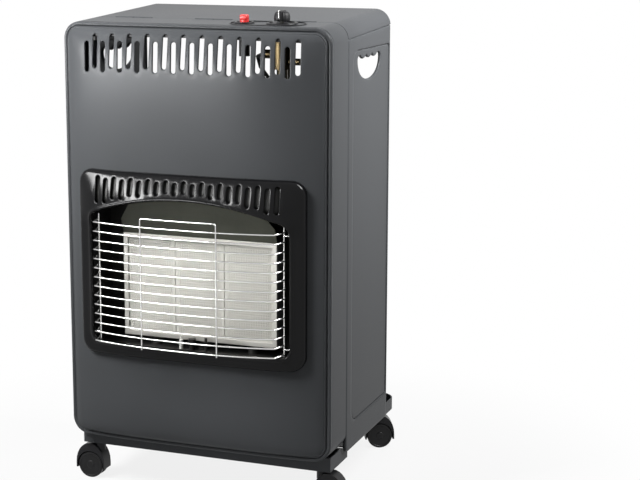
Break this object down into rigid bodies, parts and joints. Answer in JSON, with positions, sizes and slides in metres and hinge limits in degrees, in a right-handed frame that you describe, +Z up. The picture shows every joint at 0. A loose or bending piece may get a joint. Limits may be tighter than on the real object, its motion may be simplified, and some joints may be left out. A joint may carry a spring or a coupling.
{
  "type": "portable gas cabinet heater",
  "caption": "Folding portable gas cabinet heater with ceramic infrared plaques behind a bowed wire guard, top knob and igniter, fold-in sides, fold-up bottle tray and twin-wheel casters.",
  "frame": {"origin": "centre of the bounding box in plan, on the floor", "axes": "+X to the right as seen from the front, +Y from the front to the back, +Z up"},
  "size_m": [0.442, 0.4178, 0.7394],
  "materials": {
    "paint": "satin charcoal powder coat with fine metallic flake",
    "enamel": "glossy black enamel",
    "reflector": "heat-toned aluminised sheet",
    "steel": "zinc-plated sheet",
    "black_steel": "satin black",
    "ceramic": "matt perforated cream ceramic",
    "chrome": "chrome-plated wire",
    "brass": "machined brass",
    "copper": "drawn copper tube",
    "black_plastic": "fine-textured black moulding",
    "wheel_plastic": "smooth black wheel plastic",
    "red_plastic": "red moulded button",
    "porcelain": "glazed white insulator",
    "lead_rubber": "silicone-sleeved lead"
  },
  "bodies": {
    "front_unit": {"front_panel": "paint", "front_wrapper": "paint", "burner_surround": "enamel", "burner_pan": "reflector", "burner_housing": "steel", "ceramic_plaque_left": "ceramic", "ceramic_plaque_middle": "ceramic", "ceramic_plaque_right": "ceramic", "mixer_tube_left": "steel", "mixer_tube_middle": "steel", "mixer_tube_right": "steel", "plaque_trim": "steel", "heat_deflector": "reflector", "wire_guard": "chrome", "guard_end_left": "chrome", "guard_end_right": "chrome", "gas_manifold": "brass", "manifold_bracket": "steel", "gas_valve": "brass", "valve_bracket": "steel", "knob_bezel": "black_plastic", "igniter_bezel": "black_plastic", "igniter_body": "black_plastic", "hose_inlet": "brass", "pilot_burner": "steel", "spark_electrode": "porcelain", "thermocouple": "copper", "pilot_supply_pipe": "copper", "burner_supply_pipe": "steel", "ignition_lead": "lead_rubber", "base_channel": "black_steel", "side_hinge_leaf_left": "steel", "side_hinge_leaf_right": "steel", "side_hinge_pin_left": "steel", "side_hinge_pin_right": "steel", "lid_hinge_leaf": "steel", "lid_hinge_pin_1": "steel", "lid_hinge_pin_2": "steel", "lid_hinge_pin_3": "steel", "tray_hinge_pin": "steel"},
    "spindle": {"valve_spindle": "steel"},
    "knob": {"control_knob": "black_plastic"},
    "igniter": {"igniter_button": "red_plastic"},
    "lid": {"rear_lid": "paint"},
    "panel_left": {"side_panel_left": "paint"},
    "panel_right": {"side_panel_right": "paint"},
    "tray": {"bottle_tray": "paint"},
    "swivel_front_left": {"caster_hood_front_left": "black_plastic"},
    "swivel_front_right": {"caster_hood_front_right": "black_plastic"},
    "swivel_rear_left": {"caster_hood_rear_left": "black_plastic"},
    "swivel_rear_right": {"caster_hood_rear_right": "black_plastic"},
    "wheels_front_left": {"caster_wheels_front_left": "wheel_plastic"},
    "wheels_front_right": {"caster_wheels_front_right": "wheel_plastic"},
    "wheels_rear_left": {"caster_wheels_rear_left": "wheel_plastic"},
    "wheels_rear_right": {"caster_wheels_rear_right": "wheel_plastic"}
  },
  "joints": [
    {"name": "valve_turn", "type": "hinge", "parent": "front_unit", "child": "spindle", "pos_m": [0.122, -0.10813, 0.7], "axis": [0, 0, 1], "range_deg": [0, 150]},
    {"name": "knob_press", "type": "slide", "parent": "spindle", "child": "knob", "axis": [0, 0, -1], "range_m": [0, 0.003], "stiffness_N_per_m": 600, "springref_m": -0.0015},
    {"name": "igniter_press", "type": "slide", "parent": "front_unit", "child": "igniter", "axis": [0, 0, -1], "range_m": [0, 0.005], "stiffness_N_per_m": 1200, "springref_m": -0.002},
    {"name": "lid_lift", "type": "hinge", "parent": "front_unit", "child": "lid", "pos_m": [0, -0.07133, 0.71262], "axis": [1, 0, 0], "range_deg": [0, 95]},
    {"name": "panel_left_fold", "type": "hinge", "parent": "front_unit", "child": "panel_left", "pos_m": [-0.2015, -0.07013, 0.4], "axis": [0, 0, -1], "range_deg": [0, 90]},
    {"name": "panel_right_fold", "type": "hinge", "parent": "front_unit", "child": "panel_right", "pos_m": [0.2015, -0.07013, 0.4], "axis": [0, 0, 1], "range_deg": [0, 90]},
    {"name": "tray_fold", "type": "hinge", "parent": "front_unit", "child": "tray", "pos_m": [0, -0.04013, 0.0695], "axis": [1, 0, 0], "range_deg": [0, 90]},
    {"name": "swivel_front_left_turn", "type": "hinge", "parent": "front_unit", "child": "swivel_front_left", "pos_m": [-0.184, -0.10413, 0.06], "axis": [0, 0, 1], "continuous": true},
    {"name": "swivel_front_right_turn", "type": "hinge", "parent": "front_unit", "child": "swivel_front_right", "pos_m": [0.184, -0.10413, 0.06], "axis": [0, 0, 1], "continuous": true},
    {"name": "swivel_rear_left_turn", "type": "hinge", "parent": "tray", "child": "swivel_rear_left", "pos_m": [-0.1655, 0.18287, 0.06], "axis": [0, 0, 1], "continuous": true},
    {"name": "swivel_rear_right_turn", "type": "hinge", "parent": "tray", "child": "swivel_rear_right", "pos_m": [0.1655, 0.18287, 0.06], "axis": [0, 0, 1], "continuous": true},
    {"name": "wheels_front_left_roll", "type": "hinge", "parent": "swivel_front_left", "child": "wheels_front_left", "pos_m": [-0.197, -0.10413, 0.0205], "axis": [0, 1, 0], "continuous": true},
    {"name": "wheels_front_right_roll", "type": "hinge", "parent": "swivel_front_right", "child": "wheels_front_right", "pos_m": [0.197, -0.10413, 0.0205], "axis": [0, 1, 0], "continuous": true},
    {"name": "wheels_rear_left_roll", "type": "hinge", "parent": "swivel_rear_left", "child": "wheels_rear_left", "pos_m": [-0.17728, 0.18836, 0.0205], "axis": [0.4226, 0.9063, 0], "continuous": true},
    {"name": "wheels_rear_right_roll", "type": "hinge", "parent": "swivel_rear_right", "child": "wheels_rear_right", "pos_m": [0.17728, 0.18836, 0.0205], "axis": [-0.4226, 0.9063, 0], "continuous": true}
  ]
}
